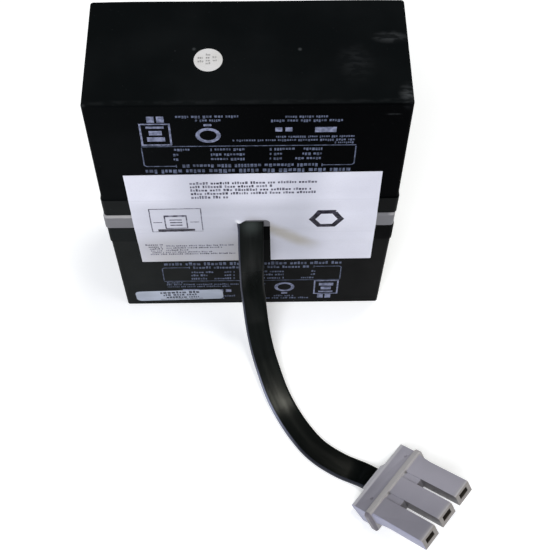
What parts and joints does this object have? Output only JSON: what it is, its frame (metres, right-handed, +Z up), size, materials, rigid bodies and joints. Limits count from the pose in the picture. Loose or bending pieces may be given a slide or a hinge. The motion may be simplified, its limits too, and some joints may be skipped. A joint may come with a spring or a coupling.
{
  "type": "battery cartridge",
  "caption": "Standby-power battery cartridge: sealed lead batteries stacked top to top with a terminal carrier between them and a flat cable to a finger connector.",
  "frame": {"origin": "centre of the battery stack's footprint, on the surface it stands on", "axes": "+Z up, -Y is the front with the label and the cable, +X to the right seen from the front"},
  "size_m": [0.1919, 0.2192, 0.2001],
  "materials": {
    "case_plastic": "satin black",
    "valve_rubber": "matte black",
    "lead": "dull grey",
    "glass_mat": "white mat",
    "tinned_brass": "tinned",
    "seal_resin": "cast resin",
    "carrier_plastic": "mid grey",
    "lead_insulation": "black",
    "copper_strand": "bare copper",
    "connector_plastic": "cool grey",
    "cable_jacket": "soft black",
    "label_paper": "plain white",
    "silver_film": "silvered film"
  },
  "bodies": {
    "root": {"centre_lead": "lead_insulation", "connector_contact_1": "tinned_brass", "connector_contact_2": "tinned_brass", "connector_contact_3": "tinned_brass", "connector_cores": "copper_strand", "connector_hood": "connector_plastic", "connector_housing": "connector_plastic", "flat_cable": "cable_jacket", "front_label": "label_paper", "link_lead": "lead_insulation", "lower_case": "case_plastic", "lower_cell_straps": "lead", "lower_lid": "case_plastic", "lower_negative_plates": "lead", "lower_negative_receptacle": "tinned_brass", "lower_negative_terminal": "tinned_brass", "lower_positive_plates": "lead", "lower_positive_receptacle": "tinned_brass", "lower_positive_terminal": "tinned_brass", "lower_separators": "glass_mat", "lower_terminal_seals": "seal_resin", "lower_vent_cover": "case_plastic", "lower_vent_valves": "valve_rubber", "negative_lead": "lead_insulation", "plain_sticker": "silver_film", "positive_lead": "lead_insulation", "round_sticker": "label_paper", "terminal_carrier": "carrier_plastic", "upper_case": "case_plastic", "upper_cell_straps": "lead", "upper_lid": "case_plastic", "upper_negative_plates": "lead", "upper_negative_receptacle": "tinned_brass", "upper_negative_terminal": "tinned_brass", "upper_positive_plates": "lead", "upper_positive_receptacle": "tinned_brass", "upper_positive_terminal": "tinned_brass", "upper_separators": "glass_mat", "upper_terminal_seals": "seal_resin", "upper_vent_cover": "case_plastic", "upper_vent_valves": "valve_rubber"}
  },
  "joints": []
}
